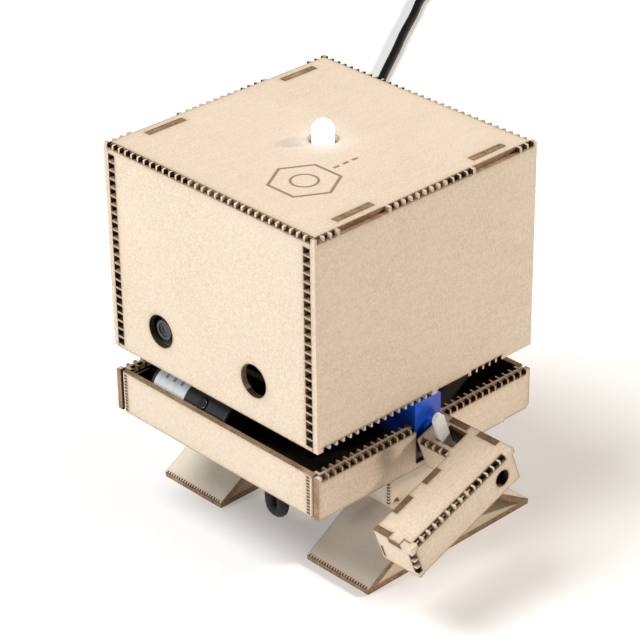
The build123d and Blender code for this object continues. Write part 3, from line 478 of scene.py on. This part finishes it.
SLOT_MATERIAL = {
    "servo_blue": servo_material(),
    "white_plastic": mottled("white_nylon", (0.94, 0.95, 0.96), (0.98, 0.98, 0.98), (0.35, 0.5)),
    "black_plastic": mottled("black_shell", (0.028, 0.03, 0.032), (0.05, 0.052, 0.055), (0.32, 0.46)),
    "button_gloss": mottled(
        "gloss_button", (0.03, 0.032, 0.036), (0.05, 0.052, 0.058), (0.05, 0.1), Coat_Weight=0.8
    ),
    "led_lit": lit_material(),
    "steel": mottled("plated_steel", (0.5, 0.5, 0.52), (0.68, 0.68, 0.7), (0.24, 0.38), Metallic=0.95),
    "brass": mottled("turned_brass", (0.6, 0.43, 0.18), (0.78, 0.6, 0.28), (0.22, 0.34), Metallic=0.95),
    "board_green": board_material(),
    "nylon": mottled("natural_nylon", (0.8, 0.78, 0.7), (0.9, 0.88, 0.81), (0.38, 0.5)),
}
for node, slot in SLOT_OF.items():
    if slot in SLOT_MATERIAL:
        NODES[node].data.materials.clear()
        material = sleeve_material() if node == "speaker_sleeve" else SLOT_MATERIAL[slot]
        NODES[node].data.materials.append(material)


# ======== cords: the same points as the route of the CAD tubes, then the turns of the coil
def cord_material():
    s = Shader("cord_jacket")
    spot = s.place()
    fine, broad = s.noise(spot, 2500, 3, 0.6), s.noise(spot, 120, 3, 0.5)
    s.set(Base_Color=s.ramp(broad, (0.3, (0.004, 0.004, 0.005)), (0.7, (0.009, 0.009, 0.01))))
    s.set(Roughness=s.span(fine, 0.3, 0.7, 0.5, 0.66), Specular_IOR_Level=0.3)
    s.bump(fine, 0.15, 0.00008)
    return s.material


CORD = 4.2 * MM
LAID = 2.2                    # height of the cord's middle where it lies on the floor
CORD_ROUTE = [
    (-36.6, -13, 79.6), (-36.2, 15, 79.3), (-36.9, 43, 79.8), (-38.5, 69, 74), (-44, 90, 49), (-53, 106, 21),
    (-66, 124, LAID), (-88, 150, LAID), (-118, 176, LAID), (-152, 199, LAID), (-186, 219, LAID),
    (-216, 243, LAID), (-240, 266, LAID), (-254, 287, LAID), (-264.5, 303, LAID), (-276.5, 320, LAID),
    (-289.5, 341, LAID), (-302, 358, LAID),
]
COIL_CENTRE = (-334.9, 368.5)
COIL_START, COIL_STEPS = 30, 16        # the angle where the cord joins the coil, and the points in a turn
COIL_OUTER, COIL_INNER, LAYER = 27.1, 14.35, 4.3
LEAD_ROUTE = [
    (17.9, -42, 42.9), (18.1, -42.3, 33.5), (18.3, -42, 25.3),
    (24.1, -42, 25.3), (24.4, -42.3, 33.5), (24.3, -42, 42.9),
]


def on_coil(angle, radius, height):
    turn = radians(angle)
    return (COIL_CENTRE[0] + radius * cos(turn), COIL_CENTRE[1] + radius * sin(turn), height)


def coil_turns():
    """Three turns that wind inwards on the floor, three that wind outwards on top, and the way to the plug."""
    turns = []
    for layer, (start, stop) in enumerate(((COIL_OUTER, COIL_INNER), (COIL_INNER, COIL_OUTER))):
        for k in range(3 * COIL_STEPS):
            share = k / (3 * COIL_STEPS)
            climb = min(1.0, k / 6) if layer else 0.0
            angle = COIL_START + 360 * (3 * layer + k / COIL_STEPS)
            turns.append(on_coil(angle, start + (stop - start) * share, LAID + LAYER * climb))
    leaving = ((45, 7.2), (70, 8.2), (95, 9.2), (120, 9.9), (145, 10.5), (170, 11.2), (190, 11.7))
    turns += [on_coil(angle, 27, height) for angle, height in leaving]
    hub = on_coil(203.8, 11, 12.1)
    for k in range(8):
        turn = radians(204 + 18 * k)
        turns.append((hub[0] + 16 * cos(turn), hub[1] + 16 * sin(turn), hub[2] + min(2.4, 0.4 * k)))
    turns.append((turns[-1][0] + 3.5, turns[-1][1] + 6.06, 14.5))
    return turns


def cord_piece(name, points, diameter, body, node_names):
    """A round cord along a NURBS spline with these control points."""
    curve = bpy.data.curves.new(name, "CURVE")
    curve.dimensions, curve.resolution_u = "3D", 6
    curve.bevel_depth, curve.bevel_resolution, curve.use_fill_caps = diameter / 2, 5, True
    spline = curve.splines.new("NURBS")
    spline.points.add(len(points) - 1)
    for point, spot in zip(spline.points, points):
        point.co = (*at(*spot), 1.0)
    spline.order_u = 3
    spline.use_endpoint_u = True
    piece = bpy.data.objects.new(name, curve)
    curve.materials.append(CORD_JACKET)
    bpy.context.collection.objects.link(piece)
    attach(piece, body)
    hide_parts(*node_names)
    return piece


CORD_JACKET = cord_material()
CORD_POINTS = CORD_ROUTE + coil_turns()
power_cord = cord_piece("power_cord_line", CORD_POINTS, CORD, "base", ["power_cord", "power_cord_coil"])
lead = cord_piece("speaker_lead_line", LEAD_ROUTE, CORD, "base", ["speaker_lead"])


# ======== floor, light and camera
def stage_material():
    s = Shader("backdrop")
    s.set(Base_Color=s.mix(s.noise(s.place(), 3), grey(0.9), grey(0.91)))
    s.set(Roughness=0.95, Specular_IOR_Level=0.1)
    s.set(Emission_Color=(1.0, 0.97, 0.95), Emission_Strength=0.22)
    return s.material


bpy.ops.mesh.primitive_plane_add(size=8, location=(0, 0, -0.0002))
floor = bpy.context.object
floor.name = "floor"
floor.data.materials.append(stage_material())

bpy.context.scene.view_settings.view_transform = "Standard"
world = bpy.data.worlds.new("studio")
bpy.context.scene.world = world
world.use_nodes = True
world.node_tree.nodes["Background"].inputs[0].default_value = (1, 1, 1, 1)
world.node_tree.nodes["Background"].inputs[1].default_value = 0.04


def area_light(name, azimuth, elevation, distance, size, power, colour=(1, 1, 1)):
    """A round softbox that looks at the robot, from an azimuth (0 is in front, 90 on the arm's side)."""
    turn, lift = radians(azimuth), radians(elevation)
    toward = Vector((sin(turn) * cos(lift), -cos(turn) * cos(lift), sin(lift)))
    data = bpy.data.lights.new(name, "AREA")
    data.shape, data.size, data.energy, data.color = "DISK", size, power, colour
    lamp = bpy.data.objects.new(name, data)
    facing = toward.to_track_quat("Z", "Y").to_matrix().to_4x4()
    lamp.matrix_world = Matrix.Translation(at(0, 0, 80) + toward * distance) @ facing
    bpy.context.collection.objects.link(lamp)


area_light("key", -27, 60, 1.6, 0.9, 22)
area_light("front", -14, 17, 1.7, 0.5, 8.5)
area_light("side", 150, 27, 1.5, 0.16, 16.5, (1.0, 0.9, 0.8))

camera_data = bpy.data.cameras.new("camera")
camera_data.lens, camera_data.sensor_width = CAMERA_LENS, 36.0
camera_data.clip_start, camera_data.clip_end = 0.05, 20
camera = bpy.data.objects.new("camera", camera_data)
bpy.context.collection.objects.link(camera)
azimuth, elevation, roll = (radians(a) for a in (CAMERA_AZIMUTH, CAMERA_ELEVATION, CAMERA_ROLL))
toward = Vector((sin(azimuth) * cos(elevation), -cos(azimuth) * cos(elevation), sin(elevation)))
facing = toward.to_track_quat("Z", "Y").to_matrix().to_4x4()
camera.matrix_world = Matrix.Translation(CAMERA_AT) @ facing @ Matrix.Rotation(roll, 4, "Z")
bpy.context.scene.camera = camera
